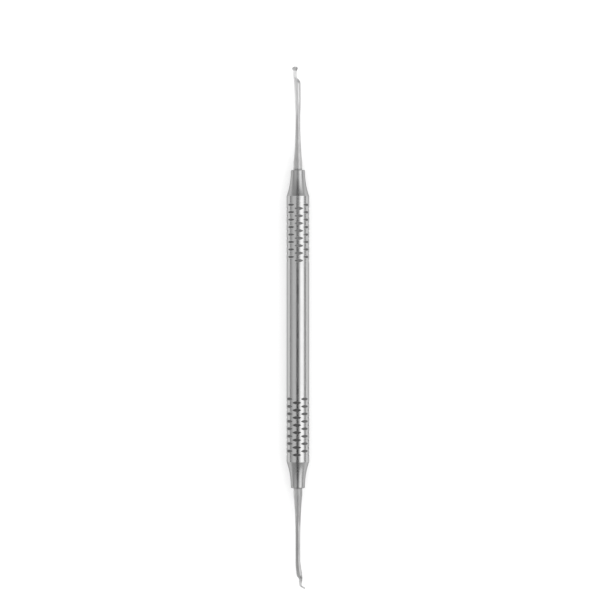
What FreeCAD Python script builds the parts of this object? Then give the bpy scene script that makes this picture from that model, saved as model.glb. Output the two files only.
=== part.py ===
import FreeCAD, Part
import math
import os

import Sketcher

# Double-ended dental chisel, in millimetres, lying on its side.
# The handle's axis runs along Y, +Z is up and the surface that it lies on is z = 0.
# Each working end is drawn along its own +Y, from the handle's end face outwards.

doc = FreeCAD.newDocument("dental_chisel")

SIZES = [
    # Handle: a round hollow grip with a concave taper at each end
    ("handle_diameter", 8.0),
    ("handle_length", 112.6),
    ("handle_wall", 1.0),
    ("taper_length", 9.3),
    ("end_diameter", 5.0),
    ("end_land", 0.2),
    ("end_chamfer", 0.35),
    # Sockets in the handle's ends, and the tangs that are pressed into them
    ("socket_diameter", 2.4),
    ("socket_depth", 14.0),
    ("socket_clearance", 0.02),
    ("tang_gap", 2.0),
    ("tang_chamfer", 0.3),
    # Grip cuts: straight vee cuts across the handle, in staggered columns
    ("cut_depth", 0.35),
    ("cut_width", 1.06),
    ("cut_pitch", 2.63),
    ("cut_rows", 8),
    ("cut_columns", 4),
    ("upper_band_inset", 12.4),
    ("lower_band_inset", 11.9),
    ("upper_cut_turn", -41.5),
    ("lower_cut_turn", -5.3),
    # Working ends: what both share
    ("collar_diameter", 3.08),
    ("collar_length", 2.9),
    ("cone_length", 2.1),
    ("cone_tip_diameter", 2.6),
    ("waist_diameter", 1.65),
    ("neck_width", 0.9),
    ("neck_depth", 1.15),
    ("neck_crown", 0.06),
    ("neck_end_width", 1.1),
    ("bend_radius", 0.3),
    ("foot_width", 2.1),
    ("foot_root_width", 1.75),
    ("foot_length", 1.65),
    ("foot_thickness", 0.55),
    ("edge_height", 0.25),
    ("inner_bevel", 0.3),
    ("outer_bevel", 0.35),
    # Upper working end: lengths of its stretches, how far it leans, and its foot
    ("upper_taper_run", 12.4),
    ("upper_waist_run", 0.8),
    ("upper_swell_run", 6.8),
    ("upper_bulb_run", 5.4),
    ("upper_shoulder_run", 2.3),
    ("upper_neck_run", 2.3),
    ("upper_swell_diameter", 2.02),
    ("upper_shoulder_diameter", 2.2),
    ("upper_swell_lean", 0.04),
    ("upper_shoulder_lean", 0.17),
    ("upper_neck_lean", 1.03),
    ("upper_foot_bend", 50.0),
    # Lower working end
    ("lower_taper_run", 13.2),
    ("lower_waist_run", 6.6),
    ("lower_swell_run", 3.8),
    ("lower_bulb_run", 1.4),
    ("lower_shoulder_run", 2.0),
    ("lower_neck_run", 2.3),
    ("lower_swell_diameter", 1.86),
    ("lower_shoulder_diameter", 2.05),
    ("lower_swell_lean", 0.25),
    ("lower_shoulder_lean", 0.48),
    ("lower_neck_lean", 0.95),
    ("lower_foot_bend", 59.0),
]

sheet = doc.addObject("Spreadsheet::Sheet", "sizes")
for row, (alias, number) in enumerate(SIZES, start=1):
    sheet.set(f"A{row}", alias)
    sheet.set(f"B{row}", str(number))
    sheet.setAlias(f"B{row}", alias)
doc.recompute()

# How many lofted stretches make up the smooth swell from the waist to the bulb
SWELL_STEPS = 4

HANDLE_R = "sizes.handle_diameter / 2"
HALF = "sizes.handle_length / 2"
SOCKET_R = "sizes.socket_diameter / 2"


def value(formula):
    """The number that a formula on the sheet's cells gives."""
    return float(sheet.evalExpression(formula))


def tangentRadius(rise, run):
    """Radius of an arc that starts parallel to the axis and moves off it by rise over a length of run."""
    return f"(({rise}) ^ 2 + ({run}) ^ 2) / (2 * ({rise}))"


def crownRadius(chord, crown):
    """Radius of an arc that stands proud of its chord by crown."""
    return f"(({chord}) ^ 2 / 4 + ({crown}) ^ 2) / (2 * ({crown}))"


def originPlane(body, role):
    return next(plane for plane in body.Origin.OriginFeatures if plane.Role == role)


def newSketch(body, name, role, offset=None):
    """A sketch on one of the body's origin planes; offset is a placement formula from that plane."""
    sketch = body.newObject("Sketcher::SketchObject", name)
    sketch.AttachmentSupport = [(originPlane(body, role), "")]
    sketch.MapMode = "FlatFace"
    if offset:
        sketch.setExpression("AttachmentOffset", offset)
    return sketch


def bind(sketch, kind, references, name, formula):
    """One dimension of a sketch, named and bound to a formula."""
    index = sketch.addConstraint(Sketcher.Constraint(kind, *references, value(formula)))
    sketch.renameConstraint(index, name)
    sketch.setExpression(f"Constraints.{name}", formula)


def arcBetween(start, end, radius, centreOnLeft):
    """The shorter arc from start to end, with its centre left or right of the way it is drawn."""
    chord = end - start
    left = FreeCAD.Vector(-chord.y, chord.x, 0).normalize()
    toCentre = left if centreOnLeft else -left
    height = math.sqrt(max(radius ** 2 - chord.Length ** 2 / 4, 0.0))
    centre = (start + end) * 0.5 + toCentre * height
    return Part.Arc(start, centre - toCentre * radius, end)


def drawOutline(sketch, corners, arcs=None):
    """A closed outline through named corners (name, x, y), given as formulas.
    arcs maps a corner's name to (radius, centreOnLeft) of the arc that leaves it."""
    arcs = arcs or {}
    points = [FreeCAD.Vector(value(x), value(y), 0) for _, x, y in corners]
    ends = []
    for i, (name, _, _) in enumerate(corners):
        start, end = points[i], points[(i + 1) % len(points)]
        if name in arcs:
            radius, centreOnLeft = arcs[name]
            curve = arcBetween(start, end, value(radius), centreOnLeft)
        else:
            curve = Part.LineSegment(start, end)
        edge = sketch.addGeometry(curve, False)
        first = 1 if sketch.getPoint(edge, 1).distanceToPoint(start) < 1e-6 else 2
        ends.append((edge, first, 3 - first))
    for i, (name, x, y) in enumerate(corners):
        edge, first, _ = ends[i]
        before, _, last = ends[i - 1]
        sketch.addConstraint(Sketcher.Constraint("Coincident", before, last, edge, first))
        bind(sketch, "DistanceX", (-1, 1, edge, first), f"{name}_x", x)
        bind(sketch, "DistanceY", (-1, 1, edge, first), f"{name}_y", y)
        if name in arcs:
            bind(sketch, "Radius", (edge,), f"{name}_radius", arcs[name][0])


def revolve(body, name, sketch, axis="V_Axis"):
    turned = body.newObject("PartDesign::Revolution", name)
    turned.Profile = sketch
    turned.ReferenceAxis = (sketch, [axis])
    return turned


def mustRemove(body, before, name):
    """A cut that points away from the solid removes nothing and raises nothing."""
    if body.Shape.Volume >= before - 1e-6:
        raise RuntimeError(f"{name} removed nothing")


# Handle


def handleOutline(body):
    """The wall's section on one side of the axis, from the lower end face up and back down the bore."""
    face = "sizes.end_diameter / 2 - sizes.end_chamfer"
    endR = "sizes.end_diameter / 2"
    cavityR = "sizes.handle_diameter / 2 - sizes.handle_wall"
    rim = f"{HALF} - sizes.end_chamfer"
    land = f"{rim} - sizes.end_land"
    crease = f"{HALF} - sizes.taper_length"
    socket = f"{HALF} - sizes.socket_depth"
    cavity = f"{socket} - ({cavityR} - {SOCKET_R})"
    corners = [
        ("lower_bore", SOCKET_R, f"-({HALF})"),
        ("lower_face", face, f"-({HALF})"),
        ("lower_rim", endR, f"-({rim})"),
        ("lower_land", endR, f"-({land})"),
        ("lower_crease", HANDLE_R, f"-({crease})"),
        ("upper_crease", HANDLE_R, crease),
        ("upper_land", endR, land),
        ("upper_rim", endR, rim),
        ("upper_face", face, HALF),
        ("upper_bore", SOCKET_R, HALF),
        ("upper_socket", SOCKET_R, socket),
        ("upper_cavity", cavityR, cavity),
        ("lower_cavity", cavityR, f"-({cavity})"),
        ("lower_socket", SOCKET_R, f"-({socket})"),
    ]
    taper = tangentRadius(f"{HANDLE_R} - {endR}", f"({land}) - ({crease})")
    sketch = newSketch(body, "handle_section", "XY_Plane")
    drawOutline(sketch, corners, {"lower_land": (taper, False), "upper_crease": (taper, False)})
    return sketch


def gripCuts(body, name, first, turn, reversed_):
    """Rows and columns of straight vee cuts: first is the height of the first row's centre."""
    floor = f"{HANDLE_R} - sizes.cut_depth"
    mouth = f"{HANDLE_R} + sizes.cut_depth"
    opening = "sizes.cut_width"
    sketch = newSketch(
        body,
        f"{name}_vee",
        "XY_Plane",
        f"placement(vector(0; 0; 0); rotation(vector(0; 1; 0); {turn}))",
    )
    corners = [
        ("root", floor, first),
        ("mouth_low", mouth, f"{first} - {opening}"),
        ("mouth_high", mouth, f"{first} + {opening}"),
    ]
    drawOutline(sketch, corners)
    doc.recompute()
    before = body.Shape.Volume
    cut = body.newObject("PartDesign::Pocket", f"{name}_cut")
    cut.Profile = sketch
    cut.SideType = "Symmetric"
    cut.setExpression("Length", "sizes.handle_diameter")
    doc.recompute()
    mustRemove(body, before, cut.Name)

    rows = body.newObject("PartDesign::LinearPattern", f"{name}_rows")
    rows.Direction = (sketch, ["V_Axis"])
    rows.Reversed = reversed_
    rows.Mode = "Spacing"
    rows.setExpression("Offset", "sizes.cut_pitch")
    rows.setExpression("Occurrences", "sizes.cut_rows")
    columns = body.newObject("PartDesign::PolarPattern", f"{name}_columns")
    columns.Axis = (sketch, ["V_Axis"])
    columns.Angle = 360
    columns.setExpression("Occurrences", "sizes.cut_columns")
    band = body.newObject("PartDesign::MultiTransform", f"{name}_band")
    band.Originals = [cut]
    band.Transformations = [rows, columns]
    body.Tip = band
    doc.recompute()


def buildHandle():
    body = doc.addObject("PartDesign::Body", "handle")
    body.Label = "handle"
    revolve(body, "handle_tube", handleOutline(body))
    doc.recompute()
    halfPitch = "sizes.cut_pitch / 2"
    halfColumn = "180 / sizes.cut_columns"
    upper = f"{HALF} - sizes.upper_band_inset"
    lower = f"-({HALF} - sizes.lower_band_inset)"
    gripCuts(body, "upper_outer", upper, "sizes.upper_cut_turn", True)
    gripCuts(body, "upper_inner", f"{upper} - {halfPitch}", f"sizes.upper_cut_turn + {halfColumn}", True)
    gripCuts(body, "lower_outer", lower, "sizes.lower_cut_turn", False)
    gripCuts(body, "lower_inner", f"{lower} + {halfPitch}", f"sizes.lower_cut_turn + {halfColumn}", False)
    body.setExpression("Placement.Base.z", HANDLE_R)
    return body


# Working ends


def section(body, name, station, lean, width, depth, crown):
    """A section across the working end: a four-sided outline whose sides bulge by crown."""
    offset = f"placement(vector(0; 0; -({station})); rotation(vector(0; 0; 1); 0))"
    sketch = newSketch(body, name, "XZ_Plane", offset)
    left, right = f"-({lean}) - ({width}) / 2", f"-({lean}) + ({width}) / 2"
    top, bottom = f"({depth}) / 2", f"-({depth}) / 2"
    corners = [
        ("south_west", left, bottom),
        ("south_east", right, bottom),
        ("north_east", right, top),
        ("north_west", left, top),
    ]
    flat, side = crownRadius(width, crown), crownRadius(depth, crown)
    arcs = {"south_west": (flat, True), "north_east": (flat, True)}
    arcs.update({"south_east": (side, True), "north_west": (side, True)})
    drawOutline(sketch, corners, arcs)
    return sketch


def roundSection(body, name, station, lean, diameter):
    """A circle in four quarter arcs, so that it joins the four-sided sections corner to corner."""
    side = f"({diameter}) * sqrt(2) / 2"
    return section(body, name, station, lean, side, side, f"({diameter}) * (1 - sqrt(2) / 2) / 2")


def loft(body, name, sections):
    joined = body.newObject("PartDesign::AdditiveLoft", name)
    joined.Profile = sections[0]
    joined.Sections = sections[1:]
    joined.Ruled = True
    return joined


def shankOutline(body, end):
    """Half section of the tang, the collar, its cone and the concave taper down to the waist."""
    tangR = f"{SOCKET_R} - sizes.socket_clearance"
    tangTip = "-(sizes.socket_depth - sizes.tang_gap)"
    coneR = "sizes.cone_tip_diameter / 2"
    waistR = "sizes.waist_diameter / 2"
    coneTop = "sizes.collar_length + sizes.cone_length"
    waist = f"{coneTop} + sizes.{end}_taper_run"
    corners = [
        ("tang_centre", "0", tangTip),
        ("tang_face", f"{tangR} - sizes.tang_chamfer", tangTip),
        ("tang_edge", tangR, f"{tangTip} + sizes.tang_chamfer"),
        ("tang_root", tangR, "0"),
        ("collar_seat", "sizes.collar_diameter / 2", "0"),
        ("collar_top", "sizes.collar_diameter / 2", "sizes.collar_length"),
        ("cone_top", coneR, coneTop),
        ("waist", waistR, waist),
        ("waist_centre", "0", waist),
    ]
    taper = tangentRadius(f"{coneR} - {waistR}", f"sizes.{end}_taper_run")
    sketch = newSketch(body, f"{end}_shank_section", "XY_Plane")
    drawOutline(sketch, corners, {"cone_top": (taper, False)})
    return sketch


def drawHinge(sketch, lean, azimuth):
    """The line that the neck's end is bent about, as construction geometry beside the section."""
    arm = "(sizes.foot_thickness / 2 + sizes.bend_radius)"
    half = "sizes.neck_end_width / 2"
    ends = []
    for sign in ("", "-"):
        x = f"-({lean}) + {arm} * cos({azimuth}) - ({sign}{half}) * sin({azimuth})"
        y = f"{arm} * sin({azimuth}) + ({sign}{half}) * cos({azimuth})"
        ends.append((x, y))
    start, end = [FreeCAD.Vector(value(x), value(y), 0) for x, y in ends]
    line = sketch.addGeometry(Part.LineSegment(start, end), True)
    for point, (x, y) in enumerate(ends, start=1):
        bind(sketch, "DistanceX", (-1, 1, line, point), f"hinge_x{point}", x)
        bind(sketch, "DistanceY", (-1, 1, line, point), f"hinge_y{point}", y)


def footOutline(body, name, end, station, lean, azimuth, level, inset):
    """The foot's outline: it flares from its root and ends in a half circle. level is the height above the
    inner face, along the way out from the bend, and inset is how far the outline has drawn in there."""
    bend = f"sizes.{end}_foot_bend"
    reach = f"(sizes.foot_thickness / 2 + sizes.bend_radius * (1 - cos({bend})))"
    base = (
        f"vector(-({lean}) + {reach} * cos({azimuth}); {reach} * sin({azimuth});"
        f" -({station} + sizes.bend_radius * sin({bend})))"
    )
    offset = (
        f"placement({base}; rotation(vector(0; 0; 1); {azimuth} + 90))"
        f" * placement(vector(0; 0; 0); rotation(vector(1; 0; 0); -90 - {bend}))"
        f" * placement(vector(0; 0; {level}); rotation(vector(0; 0; 1); 0))"
    )
    sketch = newSketch(body, name, "XZ_Plane", offset)
    root = f"sizes.foot_root_width / 2 - {inset}"
    side = f"(sizes.foot_width / 2 - {inset})"
    shoulder = "sizes.foot_length - sizes.foot_width / 2"
    corners = [
        ("root_right", root, "0"),
        ("side_right", side, shoulder),
        ("tip", "0", f"sizes.foot_length - {inset}"),
        ("side_left", f"-{side}", shoulder),
        ("root_left", f"-({root})", "0"),
    ]
    drawOutline(sketch, corners, {"side_right": (side, True), "tip": (side, True)})
    return sketch


def smoothStep(share):
    return share ** 2 * (3 - 2 * share)


def buildWorkingEnd(end, azimuth, bendsSideways):
    """azimuth is the way that the foot bends, from the sections' x to their y."""
    body = doc.addObject("PartDesign::Body", f"{end}_working_end")
    body.Label = f"{end}_working_end"
    revolve(body, f"{end}_shank", shankOutline(body, end))

    waist = f"sizes.collar_length + sizes.cone_length + sizes.{end}_taper_run"
    waistEnd = f"{waist} + sizes.{end}_waist_run"
    swell = f"{waistEnd} + sizes.{end}_swell_run"
    shoulder = f"{swell} + sizes.{end}_bulb_run"
    neck = f"{shoulder} + sizes.{end}_shoulder_run"
    neckEnd = f"{neck} + sizes.{end}_neck_run"
    neckLean = f"sizes.{end}_neck_lean"
    swellLean, swellDiameter = f"sizes.{end}_swell_lean", f"sizes.{end}_swell_diameter"

    rounds = [("waist", waist, "0", "sizes.waist_diameter")]
    for step in range(SWELL_STEPS + 1):
        share = step / SWELL_STEPS
        station = f"{waistEnd} + sizes.{end}_swell_run * {share}"
        lean = f"{swellLean} * {share ** 2}"
        diameter = f"sizes.waist_diameter + ({swellDiameter} - sizes.waist_diameter) * {smoothStep(share)}"
        rounds.append((f"swell_{step}", station, lean, diameter))
    shoulderPlace = (shoulder, f"sizes.{end}_shoulder_lean", f"sizes.{end}_shoulder_diameter")
    rounds.append(("shoulder", *shoulderPlace))
    loft(body, f"{end}_bulb", [roundSection(body, f"{end}_{name}", *rest) for name, *rest in rounds])

    neckSize = ["sizes.neck_width", "sizes.neck_depth"]
    neckEndSize = ["sizes.neck_end_width", "sizes.foot_thickness"]
    if bendsSideways:
        neckSize.reverse()
        neckEndSize.reverse()
    crown = "sizes.neck_crown"
    shoulderStart = roundSection(body, f"{end}_shoulder_start", *shoulderPlace)
    neckStart = section(body, f"{end}_neck", neck, neckLean, *neckSize, crown)
    neckStop = section(body, f"{end}_neck_end", neckEnd, neckLean, *neckEndSize, crown)
    loft(body, f"{end}_neck_taper", [shoulderStart, neckStart, neckStop])

    knuckle = section(body, f"{end}_knuckle", neckEnd, neckLean, *neckEndSize, crown)
    drawHinge(knuckle, neckLean, azimuth)
    bent = revolve(body, f"{end}_bend", knuckle, "Axis0")
    bent.setExpression("Angle", f"sizes.{end}_foot_bend")
    doc.recompute()

    place = (end, neckEnd, neckLean, azimuth)
    layers = [
        ("inner_face", "0", "sizes.inner_bevel"),
        ("edge", "sizes.edge_height", "0"),
        ("outer_face", "sizes.foot_thickness", "sizes.outer_bevel"),
    ]
    outlines = [footOutline(body, f"{end}_foot_{name}", *place, *rest) for name, *rest in layers]
    loft(body, f"{end}_foot", outlines)
    doc.recompute()
    return body


handle = buildHandle()
upper = buildWorkingEnd("upper", "90", False)
upper.setExpression("Placement.Base.y", HALF)
upper.setExpression("Placement.Base.z", HANDLE_R)
lower = buildWorkingEnd("lower", "180", True)
lower.Placement = FreeCAD.Placement(FreeCAD.Vector(), FreeCAD.Rotation(FreeCAD.Vector(0, 0, 1), 180))
lower.setExpression("Placement.Base.y", f"-({HALF})")
lower.setExpression("Placement.Base.z", HANDLE_R)
doc.recompute()

for thing in doc.Objects:
    if "Invalid" in thing.State or "Error" in thing.State:
        raise RuntimeError(f"{thing.Name} is {thing.State}")
parts = [handle, upper, lower]
for part in parts:
    if part.Shape.isNull() or not part.Shape.isValid() or len(part.Shape.Solids) != 1:
        raise RuntimeError(f"{part.Label} isn't one valid solid")

os.makedirs("parts", exist_ok=True)
for part in parts:
    part.Shape.exportStep(f"parts/{part.Label}.step")
    box = part.Shape.optimalBoundingBox(False, False)
    low = [round(v, 2) for v in (box.XMin, box.YMin, box.ZMin)]
    high = [round(v, 2) for v in (box.XMax, box.YMax, box.ZMax)]
    print(part.Label, "volume", round(part.Shape.Volume, 2), "from", low, "to", high)
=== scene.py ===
import math

import bmesh
import bpy
from mathutils import Matrix, Vector


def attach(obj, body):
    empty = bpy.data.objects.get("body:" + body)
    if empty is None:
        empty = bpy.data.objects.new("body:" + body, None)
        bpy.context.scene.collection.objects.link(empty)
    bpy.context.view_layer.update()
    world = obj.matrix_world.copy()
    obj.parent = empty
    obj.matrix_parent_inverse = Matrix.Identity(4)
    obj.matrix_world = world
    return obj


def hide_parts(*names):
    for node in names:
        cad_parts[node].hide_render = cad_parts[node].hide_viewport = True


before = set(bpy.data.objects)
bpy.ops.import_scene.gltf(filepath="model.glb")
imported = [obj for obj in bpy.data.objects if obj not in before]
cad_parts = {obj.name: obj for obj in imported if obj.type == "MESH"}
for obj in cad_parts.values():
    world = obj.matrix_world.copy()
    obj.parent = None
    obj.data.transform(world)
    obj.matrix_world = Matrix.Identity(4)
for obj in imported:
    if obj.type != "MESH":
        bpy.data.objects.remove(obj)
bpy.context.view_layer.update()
print("frame loaded")

# sizes in the dictionaries are millimetres, and the handle's axis runs along y at this height
mm = 0.001
axisHeight = 4.0
nearby = 0.01  # points closer than this count as being at one level


def clearSelection():
    if bpy.context.object and bpy.context.object.mode != "OBJECT":
        bpy.ops.object.mode_set(mode="OBJECT")
    bpy.ops.object.select_all(action="DESELECT")


def pickOnly(piece):
    clearSelection()
    piece.select_set(True)
    bpy.context.view_layer.objects.active = piece


def settle(piece):
    # the object goes to the origin, unturned, and its place goes into its mesh
    pickOnly(piece)
    bpy.ops.object.transform_apply(location=True, rotation=True, scale=True)


def place(x, y, z):
    return Vector((x * mm, y * mm, (axisHeight + z) * mm))


def startRing(name, sides, radius, y):
    clearSelection()
    bpy.ops.mesh.primitive_circle_add(
        vertices=sides, radius=radius * mm, location=place(0, y, 0), rotation=(math.pi / 2, 0, 0)
    )
    piece = bpy.context.object
    piece.name = name
    settle(piece)
    bpy.ops.object.mode_set(mode="EDIT")
    bpy.ops.mesh.select_all(action="SELECT")
    return piece


def pullRing(here, there):
    # rings are (y, x of the middle, width, depth): pulled out to the next, then stretched to its size
    move = place(there[1] - here[1], there[0] - here[0], -axisHeight)
    bpy.ops.mesh.extrude_region_move(TRANSFORM_OT_translate={"value": move})
    stretch = (there[2] / here[2], 1, there[3] / here[3])
    bpy.ops.transform.resize(value=stretch, center_override=place(there[1], there[0], 0))


def pressFlats(ring, flatWidth, flatDepth):
    # ring points outside the flats are pressed onto them, as a wheel grinds a round bar
    y, x = ring[:2]
    piece = bpy.context.object
    middle = place(x, y, 0)
    for axis, half in ((0, flatWidth * mm / 2), (2, flatDepth * mm / 2)):
        for side in (-1, 1):
            mesh = bmesh.from_edit_mesh(piece.data)
            ringPoints = [v for v in mesh.verts if v.select]
            proud = [v for v in ringPoints if (v.co[axis] - middle[axis]) * side > half]
            if not proud:
                continue
            for v in ringPoints:
                v.select = v in proud
            bmesh.update_edit_mesh(piece.data)
            wall = middle.copy()
            wall[axis] += side * half
            squeeze = [0 if i == axis else 1 for i in range(3)]
            bpy.ops.transform.resize(value=squeeze, center_override=wall)
            mesh = bmesh.from_edit_mesh(piece.data)
            for v in ringPoints:
                v.select = True
            mesh.select_mode = {"VERT"}
            mesh.select_flush_mode()
            bmesh.update_edit_mesh(piece.data)


def hollowRise(rise, run, share):
    # how far a concave arc has risen after this share of its run, level where it starts
    radius = (rise ** 2 + run ** 2) / (2 * rise)
    return radius - math.sqrt(radius ** 2 - (run * share) ** 2)


def ease(share):
    return share ** 2 * (3 - 2 * share)


def closeUp(piece):
    # doubles merged, open ends filled, faces turned outwards
    pickOnly(piece)
    bpy.ops.object.mode_set(mode="EDIT")
    bpy.ops.mesh.select_all(action="SELECT")
    bpy.ops.mesh.remove_doubles(threshold=0.0005 * mm)
    bpy.ops.mesh.select_all(action="DESELECT")
    bpy.ops.mesh.select_mode(type="EDGE")
    bpy.ops.mesh.select_non_manifold()
    bpy.ops.mesh.edge_face_add()
    bpy.ops.mesh.select_all(action="SELECT")
    bpy.ops.mesh.normals_make_consistent(inside=False)
    bpy.ops.mesh.select_mode(type="VERT")
    bpy.ops.object.mode_set(mode="OBJECT")


def combine(piece, tool, operation):
    pickOnly(piece)
    modifier = piece.modifiers.new(operation.lower(), "BOOLEAN")
    modifier.operation = operation
    modifier.solver = "EXACT"
    modifier.object = tool
    bpy.ops.object.modifier_apply(modifier=modifier.name)
    bpy.data.objects.remove(tool)


# Handle: a hollow bar, turned, with a concave taper at each end

handle = {
    "sides": 192,
    "radius": 4.0,
    "halfLength": 56.3,
    "wall": 1.0,
    "taperLength": 9.3,
    "taperSteps": 20,
    "endRadius": 2.5,
    "endLand": 0.2,
    "endRounding": 0.35,
    "roundingSteps": 4,
    "boreRadius": 1.2,
    "boreDepth": 14.0,
}

grip = {
    "pitch": 2.63,
    "rows": 8,
    "columns": 4,
    "depth": 0.35,
    "halfOpening": 0.56,  # at the handle's surface
    "clearAbove": 0.1,  # how far the cutter stands out of the handle
    "halfLength": 1.68,
    "rootRounding": 0.09,
    # height of the outermost row, way to the next one, and turn of its columns from straight up
    "upper": (43.9, -1, -39.5),
    "lower": (-44.4, 1, -6.3),
}


def bandRings(first, way):
    # plain rings between the rows, so that no cut meets one
    quarter = grip["pitch"] / 4
    count = 2 * grip["rows"] + 1
    return sorted(first - way * quarter + way * 2 * quarter * i for i in range(count))


def handleProfile():
    # (y, radius) from the lower bore's mouth over the outside to the upper one
    half, end = handle["halfLength"], handle["endRadius"]
    rounding, taper = handle["endRounding"], handle["taperLength"]
    upperHalf = []
    steps = handle["taperSteps"]
    landY = half - rounding - handle["endLand"]
    rise, run = handle["radius"] - end, landY - (half - taper)
    for i in range(steps, -1, -1):
        upperHalf.append((landY - run * i / steps, end + hollowRise(rise, run, i / steps)))
    for i in range(handle["roundingSteps"] + 1):
        turn = math.radians(90 * i / handle["roundingSteps"])
        inwards, outwards = rounding * (1 - math.cos(turn)), rounding * math.sin(turn)
        upperHalf.append((half - rounding + outwards, end - inwards))
    upperHalf.append((half, handle["boreRadius"]))
    lowerHalf = [(-y, radius) for y, radius in reversed(upperHalf)]
    bands = bandRings(*grip["lower"][:2]) + bandRings(*grip["upper"][:2])
    return lowerHalf + [(y, handle["radius"]) for y in bands] + upperHalf


def turnHandle():
    outside = handleProfile()
    cavity = handle["radius"] - handle["wall"]
    boreEnd = handle["halfLength"] - handle["boreDepth"]
    coneEnd = boreEnd - (cavity - handle["boreRadius"])
    inside = [(boreEnd, handle["boreRadius"]), (coneEnd, cavity), (-coneEnd, cavity)]
    inside += [(-boreEnd, handle["boreRadius"]), outside[0]]
    piece = startRing("handleBody", handle["sides"], outside[0][1], outside[0][0])
    here = outside[0]
    for there in outside[1:] + inside:
        rings = [(y, 0, 2 * radius, 2 * radius) for y, radius in (here, there)]
        pullRing(*rings)
        here = there
    closeUp(piece)
    return piece


def gripCutter():
    # one straight vee with a rounded root, lying along x over the axis with its edge down
    slope = grip["halfOpening"] / grip["depth"]
    height = grip["depth"] + grip["clearAbove"]
    root = handle["radius"] - grip["depth"]
    clearSelection()
    bpy.ops.mesh.primitive_cylinder_add(
        vertices=3,
        radius=1,
        depth=2 * grip["halfLength"] * mm,
        rotation=(-math.pi / 2, 0, math.pi / 2),
    )
    cutter = bpy.context.object
    settle(cutter)
    bpy.ops.object.mode_set(mode="EDIT")
    bpy.ops.mesh.select_all(action="SELECT")
    corners = [v.co.copy() for v in bmesh.from_edit_mesh(cutter.data).verts]
    wide = max(v.y for v in corners) - min(v.y for v in corners)
    tall = max(v.z for v in corners) - min(v.z for v in corners)
    stretch = (1, 2 * slope * height * mm / wide, height * mm / tall)
    bpy.ops.transform.resize(value=stretch, center_override=(0, 0, 0))
    low = min(v.co.z for v in bmesh.from_edit_mesh(cutter.data).verts)
    bpy.ops.transform.translate(value=(0, 0, root * mm - low))
    mesh = bmesh.from_edit_mesh(cutter.data)
    low = min(v.co.z for v in mesh.verts)
    for v in mesh.verts:
        v.select = v.co.z < low + nearby * mm
    mesh.select_mode = {"VERT"}
    mesh.select_flush_mode()
    bmesh.update_edit_mesh(cutter.data)
    bpy.ops.mesh.bevel(offset=grip["rootRounding"] * mm, segments=3, affect="EDGES")
    bpy.ops.mesh.select_all(action="SELECT")
    bpy.ops.mesh.normals_make_consistent(inside=False)
    bpy.ops.object.mode_set(mode="OBJECT")
    return cutter


def cutGrip(piece):
    cutter = gripCutter()
    cutter.name = "gripCuts"
    copies = []
    for first, way, turn in (grip["upper"], grip["lower"]):
        for phase in (0, 1):
            for row in range(grip["rows"]):
                for column in range(grip["columns"]):
                    y = first + way * grip["pitch"] * (row + phase / 2)
                    angle = math.radians(turn + 360 / grip["columns"] * (column + phase / 2))
                    copy = cutter.copy()
                    copy.data = cutter.data.copy()
                    bpy.context.collection.objects.link(copy)
                    turned = Matrix.Rotation(angle, 4, "Y")
                    copy.matrix_world = Matrix.Translation(place(0, y, 0)) @ turned
                    copies.append(copy)
    bpy.data.objects.remove(cutter)
    bpy.context.view_layer.update()
    clearSelection()
    for copy in copies:
        copy.select_set(True)
    bpy.context.view_layer.objects.active = copies[0]
    bpy.ops.object.join()
    cuts = bpy.context.object
    settle(cuts)
    combine(piece, cuts, "DIFFERENCE")


handleBody = turnHandle()
print("handle turned:", len(handleBody.data.polygons), "faces")
cutGrip(handleBody)
closeUp(handleBody)
print("grip cut:", len(handleBody.data.polygons), "faces")


# Working ends: forged round, then ground flat towards the foot.
# Both are made pointing up the picture, and the lower one is then turned end for end.

workingEnd = {
    "sides": 56,
    "tangTip": -12.0,
    "tangRadius": 1.18,
    "tangChamfer": 0.3,
    "collarRadius": 1.54,
    "collarRounding": 0.12,
    "collarLength": 2.9,
    "coneLength": 2.1,
    "coneRadius": 1.3,
    "coneBulge": ((0.3, 0.42), (0.65, 0.78)),  # share of the cone's length and of its fall
    "waistRadius": 0.825,
    "taperSteps": 14,
    "swellSteps": 10,
    "bulbSteps": 5,
    "neckSteps": 5,
    "neckSize": (0.9, 1.15),
    "neckEndSize": (1.1, 0.55),
    "shoulderRings": 8,
    "shoulderCurve": 2.2,  # 1 is a straight slope, and more keeps the shoulder full for longer
    "roundness": 1.2,  # how much larger the round blank is than the flats ground on it
    "bendRadius": 0.3,
    "bendSteps": 7,
    "rootFlare": 1.08,
    "diveRings": ((0, 1.03, 1.0), (0.5, 0.97, 0.8)),  # reach past the bend, thickness and width
    "footRadius": 1.05,
    "footReach": 0.6,  # from the bend to the middle of the foot's round end
    "rootOverlap": 0.05,  # how far the foot's cut root lies inside the bend
    "footThickness": 0.55,
    "footSides": 64,
    "edgeLevel": 0.25,  # height of the cutting edge over the inner face
    "innerBevel": 0.3,
    "outerBevel": 0.35,
}

upperEnd = {
    "name": "upperWorkingEnd",
    "node": "upper_working_end",
    "runs": {"taper": 12.4, "waist": 0.8, "swell": 6.8, "bulb": 5.4, "shoulder": 2.3, "neck": 2.3},
    "swell": (2.02, 0.04),  # diameter, and how far the middle leans off the axis
    "shoulder": (2.2, 0.17),
    "neckLean": 1.03,
    "bendsTowards": (0, 0, 1),
    "bend": 50,
    "twist": 12,  # degrees that the neck and foot are turned about the shank
    "footAside": -0.16,  # how far the foot's middle lies beside the neck's
}

lowerEnd = {
    "name": "lowerWorkingEnd",
    "node": "lower_working_end",
    "runs": {"taper": 13.2, "waist": 6.6, "swell": 3.8, "bulb": 1.4, "shoulder": 2.0, "neck": 2.3},
    "swell": (1.86, 0.25),
    "shoulder": (2.05, 0.48),
    "neckLean": 0.95,
    "bendsTowards": (-1, 0, 0),
    "bend": 59,
    "twist": -12,
    "footAside": 0,
}


def between(a, b, share):
    return a + (b - a) * share


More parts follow.
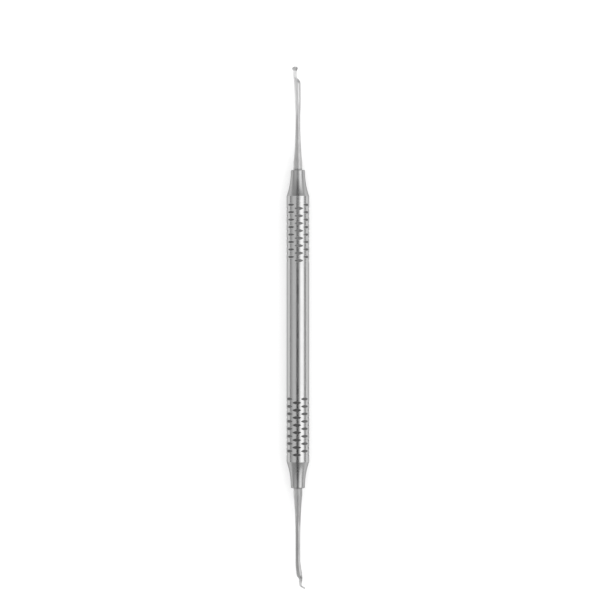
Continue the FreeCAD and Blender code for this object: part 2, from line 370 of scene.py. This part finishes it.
def roundStations(end):
    # (distance from the handle's end face, diameter, lean) up to the shoulder
    w, runs = workingEnd, end["runs"]
    rounding = w["collarRounding"]
    coneStart, coneEnd = w["collarLength"], w["collarLength"] + w["coneLength"]
    stations = [
        (w["tangTip"], 2 * (w["tangRadius"] - w["tangChamfer"]), 0),
        (w["tangTip"] + w["tangChamfer"], 2 * w["tangRadius"], 0),
        (0, 2 * w["tangRadius"], 0),
        (0, 2 * (w["collarRadius"] - rounding), 0),
        (rounding * 0.3, 2 * (w["collarRadius"] - rounding * 0.3), 0),
        (rounding, 2 * w["collarRadius"], 0),
        (coneStart - 2 * rounding, 2 * w["collarRadius"], 0),
        (coneStart, 2 * w["collarRadius"] - 0.02, 0),
    ]
    for share, fall in w["coneBulge"]:
        diameter = 2 * between(w["collarRadius"], w["coneRadius"], fall)
        stations.append((between(coneStart, coneEnd, share), diameter, 0))
    steps = w["taperSteps"]
    rise = w["coneRadius"] - w["waistRadius"]
    for i in range(steps, -1, -1):
        radius = w["waistRadius"] + hollowRise(rise, runs["taper"], i / steps)
        stations.append((coneEnd + runs["taper"] * (1 - i / steps), 2 * radius, 0))
    start = coneEnd + runs["taper"] + runs["waist"]
    steps = w["swellSteps"]
    for i in range(steps + 1):
        share = i / steps
        diameter = between(2 * w["waistRadius"], end["swell"][0], ease(share))
        stations.append((start + runs["swell"] * share, diameter, end["swell"][1] * share ** 2))
    start += runs["swell"]
    steps = w["bulbSteps"]
    for i in range(1, steps + 1):
        share = i / steps
        diameter = between(end["swell"][0], end["shoulder"][0], share)
        lean = between(end["swell"][1], end["shoulder"][1], share)
        stations.append((start + runs["bulb"] * share, diameter, lean))
    return stations


def flatStations(end):
    # from shoulder to bend: distance, lean, the blank's width and depth, and those of the flats
    w, runs = workingEnd, end["runs"]
    roundRuns = sum(runs[k] for k in ("taper", "waist", "swell", "bulb"))
    shoulder = w["collarLength"] + w["coneLength"] + roundRuns
    neckSize, endSize = w["neckSize"], w["neckEndSize"]
    if end["bendsTowards"][0]:
        neckSize, endSize = neckSize[::-1], endSize[::-1]
    bulb, lean = end["shoulder"]
    stations = []
    for i in range(1, w["shoulderRings"] + 1):
        share = i / w["shoulderRings"]
        ground = share ** w["shoulderCurve"]
        flats = [between(bulb, size, ground) for size in neckSize]
        blank = [between(bulb, size * w["roundness"], ground) for size in neckSize]
        middle = between(lean, end["neckLean"], ground)
        stations.append((shoulder + runs["shoulder"] * share, middle, *blank, *flats))
    for i in range(1, w["neckSteps"] + 1):
        share = i / w["neckSteps"]
        flats = [between(a, b, share) for a, b in zip(neckSize, endSize)]
        blank = [size * w["roundness"] for size in flats]
        y = shoulder + runs["shoulder"] + runs["neck"] * share
        stations.append((y, end["neckLean"], *blank, *flats))
    return stations


def bendNeck(end, start):
    # the last ring is pulled round the hinge, and flares a little as it turns
    w = workingEnd
    towards = Vector(end["bendsTowards"])
    along = Vector((0, 1, 0))
    hinge = start + towards * (w["footThickness"] / 2 + w["bendRadius"]) * mm
    step = math.radians(end["bend"]) / w["bendSteps"]
    axis = along.cross(towards)
    arm = start - hinge
    across = [1.0 if abs(c) > 0.5 else 0.0 for c in axis]
    flare = w["rootFlare"] ** (1 / w["bendSteps"])
    for i in range(w["bendSteps"]):
        before = hinge + Matrix.Rotation(step * i, 3, axis) @ arm
        after = hinge + Matrix.Rotation(step * (i + 1), 3, axis) @ arm
        bpy.ops.mesh.extrude_region_move(TRANSFORM_OT_translate={"value": after - before})
        turnSelected(step, axis, after)
        bpy.ops.transform.resize(
            value=[between(1, flare, c) for c in across], center_override=after
        )
    bend = math.radians(end["bend"])
    outwards = math.cos(bend) * along + math.sin(bend) * towards
    # the end dives into the foot, so that no face of one lies in a face of the other
    middle = after
    for reach, thick, wide in w["diveRings"]:
        if reach:
            bpy.ops.mesh.extrude_region_move(TRANSFORM_OT_translate={"value": outwards * reach * mm})
            middle = after + outwards * reach * mm
        turnSelected(-bend, axis, middle)
        size = [1 + (thick - 1) * abs(t) + (wide - 1) * c for t, c in zip(towards, across)]
        bpy.ops.transform.resize(value=size, center_override=middle)
        turnSelected(bend, axis, middle)
    return after, outwards


def turnSelected(angle, axis, middle):
    # without a window the operator turns the other way round a world axis
    letter = "XYZ"[max(range(3), key=lambda i: abs(axis[i]))]
    sign = 1 if sum(axis) > 0 else -1
    bpy.ops.transform.rotate(
        value=-sign * angle, orient_axis=letter, orient_type="GLOBAL", center_override=middle
    )


def makeFoot(end, base, outwards):
    # a round plate with a bevel on each face, cut off square at its root
    w = workingEnd
    towards = Vector(end["bendsTowards"])
    bend = math.radians(end["bend"])
    outerWay = math.sin(bend) * Vector((0, 1, 0)) - math.cos(bend) * towards
    innerMiddle = base - outerWay * w["footThickness"] / 2 * mm + outwards * w["footReach"] * mm
    innerMiddle.x += end["footAside"] * mm
    upper = w["footThickness"] - w["edgeLevel"]
    clearSelection()
    bpy.ops.mesh.primitive_cylinder_add(
        vertices=w["footSides"],
        radius=w["footRadius"] * mm,
        depth=upper * mm,
        location=innerMiddle + outerWay * (w["edgeLevel"] + upper / 2) * mm,
        rotation=outerWay.to_track_quat("Z", "Y").to_euler(),
    )
    foot = bpy.context.object
    settle(foot)
    for side, pull, bevel in ((1, 0, w["outerBevel"]), (-1, w["edgeLevel"], w["innerBevel"])):
        bpy.ops.object.mode_set(mode="EDIT")
        bpy.ops.mesh.select_all(action="DESELECT")
        bpy.ops.mesh.select_mode(type="FACE")
        mesh = bmesh.from_edit_mesh(foot.data)
        for face in mesh.faces:
            face.select = face.normal.dot(outerWay) * side > 0.99
        bmesh.update_edit_mesh(foot.data)
        if pull:
            bpy.ops.mesh.extrude_region_move(
                TRANSFORM_OT_translate={"value": outerWay * side * pull * mm}
            )
        level = w["footThickness"] if side == 1 else 0
        shrink = (w["footRadius"] - bevel) / w["footRadius"]
        bpy.ops.transform.resize(
            value=(shrink, shrink, shrink), center_override=innerMiddle + outerWay * level * mm
        )
        bpy.ops.mesh.select_mode(type="VERT")
        bpy.ops.object.mode_set(mode="OBJECT")
    bpy.ops.object.mode_set(mode="EDIT")
    bpy.ops.mesh.select_all(action="SELECT")
    root = innerMiddle - outwards * (w["footReach"] + w["rootOverlap"]) * mm
    bpy.ops.mesh.bisect(
        plane_co=root, plane_no=outwards, use_fill=True, clear_inner=True, threshold=0.0001 * mm
    )
    bpy.ops.mesh.select_all(action="SELECT")
    bpy.ops.mesh.normals_make_consistent(inside=False)
    bpy.ops.object.mode_set(mode="OBJECT")
    return foot


def makeWorkingEnd(end):
    seat = handle["halfLength"]
    rounds = [(seat + y, -lean, size, size) for y, size, lean in roundStations(end)]
    piece = startRing(end["name"], workingEnd["sides"], rounds[0][2] / 2, rounds[0][0])
    here = rounds[0]
    for there in rounds[1:]:
        pullRing(here, there)
        here = there
    # pressing the flats changes a ring's size, so the next one is pulled from what it now measures
    for y, lean, width, depth, flatWidth, flatDepth in flatStations(end):
        there = (seat + y, -lean, width, depth)
        pullRing(here, there)
        pressFlats(there, flatWidth, flatDepth)
        reach = ringReach(piece)
        here = (there[0], there[1], reach[0], reach[1])
    base, outwards = bendNeck(end, place(here[1], here[0], 0))
    bpy.ops.mesh.edge_face_add()
    bpy.ops.object.mode_set(mode="OBJECT")
    closeUp(piece)
    foot = makeFoot(end, base, outwards)
    combine(piece, foot, "UNION")
    closeUp(piece)
    twistNeck(piece, end)
    return piece


def twistNeck(piece, end):
    # turned a little more at each ring of the shoulder, as the flats are ground slightly askew
    shoulderRings = flatStations(end)[:workingEnd["shoulderRings"]]
    turn = math.radians(end["twist"] / len(shoulderRings))
    pickOnly(piece)
    bpy.ops.object.mode_set(mode="EDIT")
    for y, lean, *sizes in shoulderRings:
        start = handle["halfLength"] + y
        mesh = bmesh.from_edit_mesh(piece.data)
        for v in mesh.verts:
            v.select = v.co.y > (start - nearby) * mm
        mesh.select_flush_mode()
        bmesh.update_edit_mesh(piece.data)
        turnSelected(turn, Vector((0, 1, 0)), place(-lean, start, 0))
    bpy.ops.mesh.select_all(action="SELECT")
    bpy.ops.mesh.normals_make_consistent(inside=False)
    bpy.ops.object.mode_set(mode="OBJECT")


def ringReach(piece):
    points = [v.co for v in bmesh.from_edit_mesh(piece.data).verts if v.select]
    wide = max(p.x for p in points) - min(p.x for p in points)
    deep = max(p.z for p in points) - min(p.z for p in points)
    return wide / mm, deep / mm


upperBody = makeWorkingEnd(upperEnd)
lowerBody = makeWorkingEnd(lowerEnd)
lowerBody.rotation_euler = (0, 0, math.pi)
settle(lowerBody)
print("working ends made:", len(upperBody.data.polygons), "and", len(lowerBody.data.polygons), "faces")

# edges sharper than these degrees stay crisp
for piece, sharp in ((handleBody, 15), (upperBody, 25), (lowerBody, 25)):
    pickOnly(piece)
    bpy.ops.object.shade_smooth_by_angle(angle=math.radians(sharp))


# Materials


def linearColour(code):
    channels = [int(code[i:i + 2], 16) / 255 for i in (1, 3, 5)]
    return [c / 12.92 if c <= 0.04045 else ((c + 0.055) / 1.055) ** 2.4 for c in channels] + [1.0]


def addNode(tree, kind, values=None, links=None, **settings):
    node = tree.nodes.new(kind)
    for name, setting in settings.items():
        setattr(node, name, setting)
    for socket, value in (values or {}).items():
        node.inputs[socket].default_value = value
    for socket, source in (links or {}).items():
        tree.links.new(source, node.inputs[socket])
    return node


patchRim = (1.1, 0.6)  # shares of an oval's half size where it starts and where it is full


def patchShare(tree, spot, middle, halfSize, strength):
    # how far an oval with a soft rim covers the surface
    (x, y), (wide, tall) = middle, halfSize
    local = addNode(
        tree,
        "ShaderNodeMapping",
        {"Location": (-x / wide, -y / tall, 0), "Scale": (1 / (wide * mm), 1 / (tall * mm), 0)},
        {"Vector": spot},
    ).outputs["Vector"]
    reach = addNode(tree, "ShaderNodeVectorMath", links={0: local}, operation="LENGTH").outputs["Value"]
    return addNode(
        tree,
        "ShaderNodeMapRange",
        {"From Min": patchRim[0], "From Max": patchRim[1], "To Max": strength},
        {"Value": reach},
        interpolation_type="SMOOTHSTEP",
    ).outputs["Result"]


def newMaterial(name):
    material = bpy.data.materials.new(name)
    material.use_nodes = True
    tree = material.node_tree
    tree.nodes.clear()
    return material, tree


turnedSteel = {
    "polished": "#bdbdbd",
    # the cut floors' darker colour is painted shade in the recesses
    "shadedCutFloors": "#7c7c7c",
    # the uppermost cuts of the upper band, lightened as a painted reflection: colour, middle, half size
    # and strength
    "litCutFloors": ("#b4b4b4", (0.7, 34.5), (1.8, 17.0), 0.8),
    # the tapers' darker colour is painted shade
    "shadedTapers": "#b0b0b0",
    "polishedRims": (0.005, 0.05),  # mm down into the cuts of the lower and the upper band
    "rimFade": 0.03,
    "edge": "#b4b4b4",  # reflectance seen at a glancing angle
    "roughness": 0.2,
    "taperRoughness": 0.27,
    "cutRoughness": 0.5,
    # mm between the wheel's lines and along one: finer on the real one, and coarser here to show
    "ringWidth": 0.12,
    "ringLength": 8.33,
    "ringHeight": 0.0012,
    "smudgeSize": 5.0,
}

groundSteel = {
    "polished": "#d6d6d6",
    "scuffed": "#c6c6c6",
    "edge": "#b4b4b4",
    "roughness": 0.48,
    # mm between the belt's lines and along one, drawn coarser than they are so that they show
    "lineWidth": 0.1,
    "lineLength": 1.43,
    "lineHeight": 0.0012,
    "smudgeSize": 3.0,
    # colour, middle, half size and strength of the painted patches, the lighter ones painted highlights
    # and the darker ones painted shade:
    # the upper shank, neck and foot's edge, both shoulders, and two on the lower shank
    "litAndShadedPatches": (
        ("#f4f4f4", (-0.5, 83.0), (0.9, 9.0), 0.9),
        ("#f4f4f4", (-1.15, 90.0), (0.8, 2.3), 0.9),
        ("#8e8e8e", (-0.45, 92.1), (0.35, 1.0), 0.5),
        ("#8e8e8e", (0.35, 88.0), (0.6, 1.2), 0.6),
        ("#8e8e8e", (1.2, -88.2), (0.5, 1.5), 0.55),
        ("#8e8e8e", (-0.3, -78.0), (0.8, 12.0), 0.4),
        ("#8e8e8e", (1.0, -62.5), (1.3, 9.0), 0.5),
    ),
}


def turnedStainless():
    # Stainless bar, turned and then polished on a felt wheel: a clear grey mirror whose
    # fine rings smear the lamps along the handle. The cut floors and tapers stay duller, and their
    # darker colour is painted shade.
    s = turnedSteel
    material, tree = newMaterial("turned stainless steel")
    spot = addNode(tree, "ShaderNodeTexCoord").outputs["Object"]
    centred = addNode(
        tree, "ShaderNodeMapping", {"Location": (0, 0, -axisHeight * mm)}, {"Vector": spot}
    ).outputs["Vector"]
    parts = addNode(tree, "ShaderNodeSeparateXYZ", links={"Vector": centred}).outputs
    flat = addNode(
        tree, "ShaderNodeCombineXYZ", links={"X": parts["X"], "Y": parts["Z"]}
    ).outputs["Vector"]
    offAxis = addNode(
        tree, "ShaderNodeVectorMath", links={0: flat}, operation="LENGTH"
    ).outputs["Value"]
    along = addNode(tree, "ShaderNodeMath", links={0: parts["Y"]}, operation="ABSOLUTE").outputs[0]

    # 1 on the tapers, which the wheel touches less and leaves rougher; their darker colour is painted
    # shade
    crease = handle["halfLength"] - handle["taperLength"]
    taper = addNode(
        tree,
        "ShaderNodeMapRange",
        {"From Min": (crease - 0.02) * mm, "From Max": (crease + 0.02) * mm},
        {"Value": along},
    ).outputs["Result"]
    # 1 on the floors of the cuts, which lie below the rims that the wheel still polishes; the floors
    # are rougher, and their darker colour is painted shade
    lowerRim, upperRim = [(handle["radius"] - depth) * mm for depth in s["polishedRims"]]
    rim = addNode(
        tree,
        "ShaderNodeMapRange",
        {"From Min": -0.001, "From Max": 0.001, "To Min": lowerRim, "To Max": upperRim},
        {"Value": parts["Y"]},
    ).outputs["Result"]
    inside = addNode(
        tree, "ShaderNodeMath", {1: s["rimFade"] * mm}, {0: rim}, operation="SUBTRACT"
    ).outputs[0]
    below = addNode(
        tree, "ShaderNodeMapRange", links={"Value": offAxis, "From Min": rim, "From Max": inside}
    ).outputs["Result"]
    straight = addNode(
        tree, "ShaderNodeMath", {0: 1.0}, {1: taper}, operation="SUBTRACT", use_clamp=True
    ).outputs[0]
    inCut = addNode(
        tree, "ShaderNodeMath", links={0: below, 1: straight}, operation="MULTIPLY"
    ).outputs[0]

    # rings left by the wheel, long round the handle and narrow along it
    lines = addNode(
        tree,
        "ShaderNodeMapping",
        {"Scale": [1 / (s[size] * mm) for size in ("ringLength", "ringWidth", "ringLength")]},
        {"Vector": centred},
    ).outputs["Vector"]
    rings = addNode(
        tree, "ShaderNodeTexNoise", {"Scale": 1.0, "Detail": 3.0, "Roughness": 0.6}, {"Vector": lines}
    ).outputs["Fac"]
    smudges = addNode(
        tree,
        "ShaderNodeTexNoise",
        {"Scale": 1 / (s["smudgeSize"] * mm), "Detail": 3.0, "Distortion": 0.4},
        {"Vector": centred},
    ).outputs["Fac"]

    dull = addNode(
        tree,
        "ShaderNodeMapRange",
        {"From Min": 0.35, "From Max": 0.75, "To Min": 0.0, "To Max": 0.07},
        {"Value": smudges},
    ).outputs["Result"]
    onTaper = addNode(
        tree,
        "ShaderNodeMath",
        {1: s["taperRoughness"] - s["roughness"], 2: s["roughness"]},
        {0: taper},
        operation="MULTIPLY_ADD",
    ).outputs[0]
    onCuts = addNode(
        tree,
        "ShaderNodeMath",
        {1: s["cutRoughness"] - s["roughness"]},
        {0: inCut, 2: onTaper},
        operation="MULTIPLY_ADD",
    ).outputs[0]
    roughness = addNode(
        tree, "ShaderNodeMath", links={0: onCuts, 1: dull}, operation="ADD", use_clamp=True
    ).outputs[0]

    # the tapers darkened: painted shade
    skin = addNode(
        tree,
        "ShaderNodeMix",
        {"A": linearColour(s["polished"]), "B": linearColour(s["shadedTapers"])},
        {"Factor": taper},
        data_type="RGBA",
    )
    # the uppermost cut floors are lightened: a painted reflection
    litTone, *oval = s["litCutFloors"]
    floors = addNode(
        tree,
        "ShaderNodeMix",
        {"A": linearColour(s["shadedCutFloors"]), "B": linearColour(litTone)},
        {"Factor": patchShare(tree, spot, *oval)},
        data_type="RGBA",
    )
    # the cut floors take their darker colour here: painted shade
    colour = addNode(
        tree,
        "ShaderNodeMix",
        links={"A": skin.outputs["Result"], "B": floors.outputs["Result"], "Factor": inCut},
        data_type="RGBA",
    )
    bump = addNode(
        tree,
        "ShaderNodeBump",
        {"Strength": 1.0, "Distance": s["ringHeight"] * mm},
        {"Height": rings},
    ).outputs["Normal"]
    shader = addNode(
        tree,
        "ShaderNodeBsdfPrincipled",
        {"Metallic": 1.0, "Specular Tint": linearColour(s["edge"])},
        {"Roughness": roughness, "Base Color": colour.outputs["Result"], "Normal": bump},
    ).outputs["BSDF"]
    addNode(tree, "ShaderNodeOutputMaterial", links={"Surface": shader})
    return material


def groundStainless():
    # Hardened stainless, belt ground and buffed: brighter and duller than the handle, with short
    # fine lines across the shank that break its highlights up, and painted patches of highlight and
    # shade.
    s = groundSteel
    material, tree = newMaterial("ground stainless steel")
    spot = addNode(tree, "ShaderNodeTexCoord").outputs["Object"]
    stretched = addNode(
        tree,
        "ShaderNodeMapping",
        {"Scale": [1 / (s[size] * mm) for size in ("lineLength", "lineWidth", "lineLength")]},
        {"Vector": spot},
    ).outputs["Vector"]
    lines = addNode(
        tree,
        "ShaderNodeTexNoise",
        {"Scale": 1.0, "Detail": 3.0, "Roughness": 0.6},
        {"Vector": stretched},
    ).outputs["Fac"]
    smudges = addNode(
        tree,
        "ShaderNodeTexNoise",
        {"Scale": 1 / (s["smudgeSize"] * mm), "Detail": 3.0, "Distortion": 0.6},
        {"Vector": spot},
    ).outputs["Fac"]
    dull = addNode(
        tree,
        "ShaderNodeMapRange",
        {"From Min": 0.35, "From Max": 0.7, "To Min": s["roughness"], "To Max": s["roughness"] + 0.1},
        {"Value": smudges},
    ).outputs["Result"]
    colour = addNode(
        tree,
        "ShaderNodeMix",
        {"A": linearColour(s["polished"]), "B": linearColour(s["scuffed"])},
        {"Factor": smudges},
        data_type="RGBA",
    ).outputs["Result"]
    # painted highlights and painted shade are mixed into the colour here
    for tone, *oval in s["litAndShadedPatches"]:
        colour = addNode(
            tree,
            "ShaderNodeMix",
            {"B": linearColour(tone)},
            {"A": colour, "Factor": patchShare(tree, spot, *oval)},
            data_type="RGBA",
        ).outputs["Result"]
    bump = addNode(
        tree,
        "ShaderNodeBump",
        {"Strength": 1.0, "Distance": s["lineHeight"] * mm},
        {"Height": lines},
    ).outputs["Normal"]
    shader = addNode(
        tree,
        "ShaderNodeBsdfPrincipled",
        {"Metallic": 1.0, "Specular Tint": linearColour(s["edge"])},
        {"Roughness": dull, "Base Color": colour, "Normal": bump},
    ).outputs["BSDF"]
    addNode(tree, "ShaderNodeOutputMaterial", links={"Surface": shader})
    return material


def matt(name, code):
    material, tree = newMaterial(name)
    shader = addNode(
        tree, "ShaderNodeBsdfPrincipled", {"Base Color": linearColour(code), "Roughness": 0.9}
    ).outputs["BSDF"]
    addNode(tree, "ShaderNodeOutputMaterial", links={"Surface": shader})
    return material


turned, ground = turnedStainless(), groundStainless()
for piece, node, material, slotName in (
    (handleBody, "handle", turned, "handle_steel"),
    (upperBody, upperEnd["node"], ground, "tip_steel"),
    (lowerBody, lowerEnd["node"], ground, "tip_steel"),
):
    piece.data.materials.clear()
    piece.data.materials.append(material)
    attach(piece, "root")
    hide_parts(node)
print("materials given")


# Studio: white floor, a soft lamp on the right, and two dark panels overhead

studio = {
    "floorSize": 20.0,
    "floorColour": "#f8f8f8",
    "floorGlow": 0.45,  # share of the floor's white that shows unshaded
    "horizon": "#8e8e8e",
    "sky": "#f4f4f4",
    "skyFull": 0.7,  # height, as a share of straight up, where the sky has its full brightness
    "endsShade": 0.55,  # the sky over the instrument's two ends, against that over its sides
    "endsFrom": (0.12, 0.5),  # how far towards the ends that shade begins and is full
    "endsAbove": (0.1, 0.3),  # and how high
    "lampTurn": 43.5,  # degrees from straight up, towards the right
    "lampDistance": 1.0,
    "lampSize": (0.72, 1.3),
    "lampWatts": 2.9,
    "fillStrength": 1.7,
    "fillSoftness": 90,
    "panelHeight": 1.2,
    "panelSides": (-0.35, 0.2),
    "panelEnds": ((-2.0, 0.12), (0.35, 1.3)),
    "panelColour": "#2c2c2c",
    "cameraHeight": 1.0,
    "frameWidth": 0.2124,  # of what the camera sees at the handle's axis
    "aim": (0.743, 10.27),
    "sensorWidth": 36,
}


def sweepPaper():
    material, tree = newMaterial("white paper sweep")
    paper = addNode(
        tree, "ShaderNodeBsdfDiffuse", {"Color": linearColour(studio["floorColour"])}
    ).outputs["BSDF"]
    glow = addNode(tree, "ShaderNodeEmission", {"Strength": 1.0}).outputs["Emission"]
    rays = addNode(tree, "ShaderNodeLightPath").outputs
    seen = addNode(
        tree,
        "ShaderNodeMath",
        links={0: rays["Is Camera Ray"], 1: rays["Is Glossy Ray"]},
        operation="MAXIMUM",
    ).outputs[0]
    seen = addNode(
        tree, "ShaderNodeMath", links={0: seen, 1: rays["Is Transmission Ray"]}, operation="MAXIMUM"
    ).outputs[0]
    share = addNode(
        tree, "ShaderNodeMath", {1: studio["floorGlow"]}, {0: seen}, operation="MULTIPLY"
    ).outputs[0]
    both = addNode(tree, "ShaderNodeMixShader", links={0: share, 1: paper, 2: glow}).outputs[0]
    addNode(tree, "ShaderNodeOutputMaterial", links={"Surface": both})
    return material


def addLamps():
    s = studio
    turn = math.radians(s["lampTurn"])
    spot = (math.sin(turn) * s["lampDistance"], 0, math.cos(turn) * s["lampDistance"])
    clearSelection()
    bpy.ops.object.light_add(type="AREA", location=spot, rotation=(0, turn, 0))
    lamp = bpy.context.object
    lamp.data.shape = "RECTANGLE"
    lamp.data.size, lamp.data.size_y = s["lampSize"]
    lamp.data.energy = s["lampWatts"]
    lamp.visible_camera = False
    # the fill only lifts the light on the floor, and stays out of the reflections
    clearSelection()
    bpy.ops.object.light_add(type="SUN", location=(0, 0, s["lampDistance"]))
    fill = bpy.context.object
    fill.data.energy = s["fillStrength"]
    fill.data.angle = math.radians(s["fillSoftness"])
    fill.visible_glossy = False


def skyLight():
    # brighter overhead than at the horizon, and darker over the ends, as in a tent open at both ends
    s = studio
    world = bpy.data.worlds.new("studio")
    bpy.context.scene.world = world
    world.use_nodes = True
    tree = world.node_tree
    tree.nodes.clear()
    way = addNode(tree, "ShaderNodeTexCoord").outputs["Generated"]
    parts = addNode(tree, "ShaderNodeSeparateXYZ", links={"Vector": way}).outputs
    rise = addNode(
        tree, "ShaderNodeMapRange", {"From Min": 0.0, "From Max": s["skyFull"]}, {"Value": parts["Z"]}
    ).outputs["Result"]
    endwise = addNode(tree, "ShaderNodeMath", links={0: parts["Y"]}, operation="ABSOLUTE").outputs[0]
    endwise = addNode(
        tree,
        "ShaderNodeMapRange",
        {"From Min": s["endsFrom"][0], "From Max": s["endsFrom"][1]},
        {"Value": endwise},
        interpolation_type="SMOOTHSTEP",
    ).outputs["Result"]
    high = addNode(
        tree,
        "ShaderNodeMapRange",
        {"From Min": s["endsAbove"][0], "From Max": s["endsAbove"][1]},
        {"Value": parts["Z"]},
        interpolation_type="SMOOTHSTEP",
    ).outputs["Result"]
    shaded = addNode(
        tree, "ShaderNodeMath", links={0: endwise, 1: high}, operation="MULTIPLY"
    ).outputs[0]
    shade = addNode(
        tree, "ShaderNodeMapRange", {"To Min": 1.0, "To Max": s["endsShade"]}, {"Value": shaded}
    ).outputs["Result"]
    pale = addNode(tree, "ShaderNodeMath", links={0: rise, 1: endwise}, operation="MAXIMUM").outputs[0]
    colour = addNode(
        tree,
        "ShaderNodeMix",
        {"A": linearColour(s["horizon"]), "B": linearColour(s["sky"])},
        {"Factor": pale},
        data_type="RGBA",
    )
    light = addNode(
        tree, "ShaderNodeBackground", links={"Color": colour.outputs["Result"], "Strength": shade}
    ).outputs["Background"]
    addNode(tree, "ShaderNodeOutputWorld", links={"Surface": light})


def makeStudio():
    s = studio
    clearSelection()
    bpy.ops.mesh.primitive_plane_add(size=s["floorSize"], location=(0, 0, 0))
    floor = bpy.context.object
    floor.name = "floor"
    floor.data.materials.append(sweepPaper())

    felt = matt("dark felt panel", s["panelColour"])
    left, right = s["panelSides"]
    for number, (low, high) in enumerate(s["panelEnds"], start=1):
        clearSelection()
        middle = ((left + right) / 2, (low + high) / 2, s["panelHeight"])
        bpy.ops.mesh.primitive_plane_add(size=1, location=middle)
        panel = bpy.context.object
        panel.name = f"panel{number}"
        panel.scale = (right - left, high - low, 1)
        settle(panel)
        panel.visible_camera = False
        panel.visible_shadow = False
        panel.visible_diffuse = False
        panel.data.materials.append(felt)
    addLamps()
    skyLight()

    clearSelection()
    x, y = s["aim"]
    height = axisHeight * mm + s["cameraHeight"]
    bpy.ops.object.camera_add(location=(x * mm, y * mm, height), rotation=(0, 0, 0))
    camera = bpy.context.object
    camera.data.sensor_width = s["sensorWidth"]
    camera.data.lens = camera.data.sensor_width * s["cameraHeight"] / s["frameWidth"]
    bpy.context.scene.camera = camera


makeStudio()
bpy.context.scene.view_settings.view_transform = "Standard"
print("studio ready")
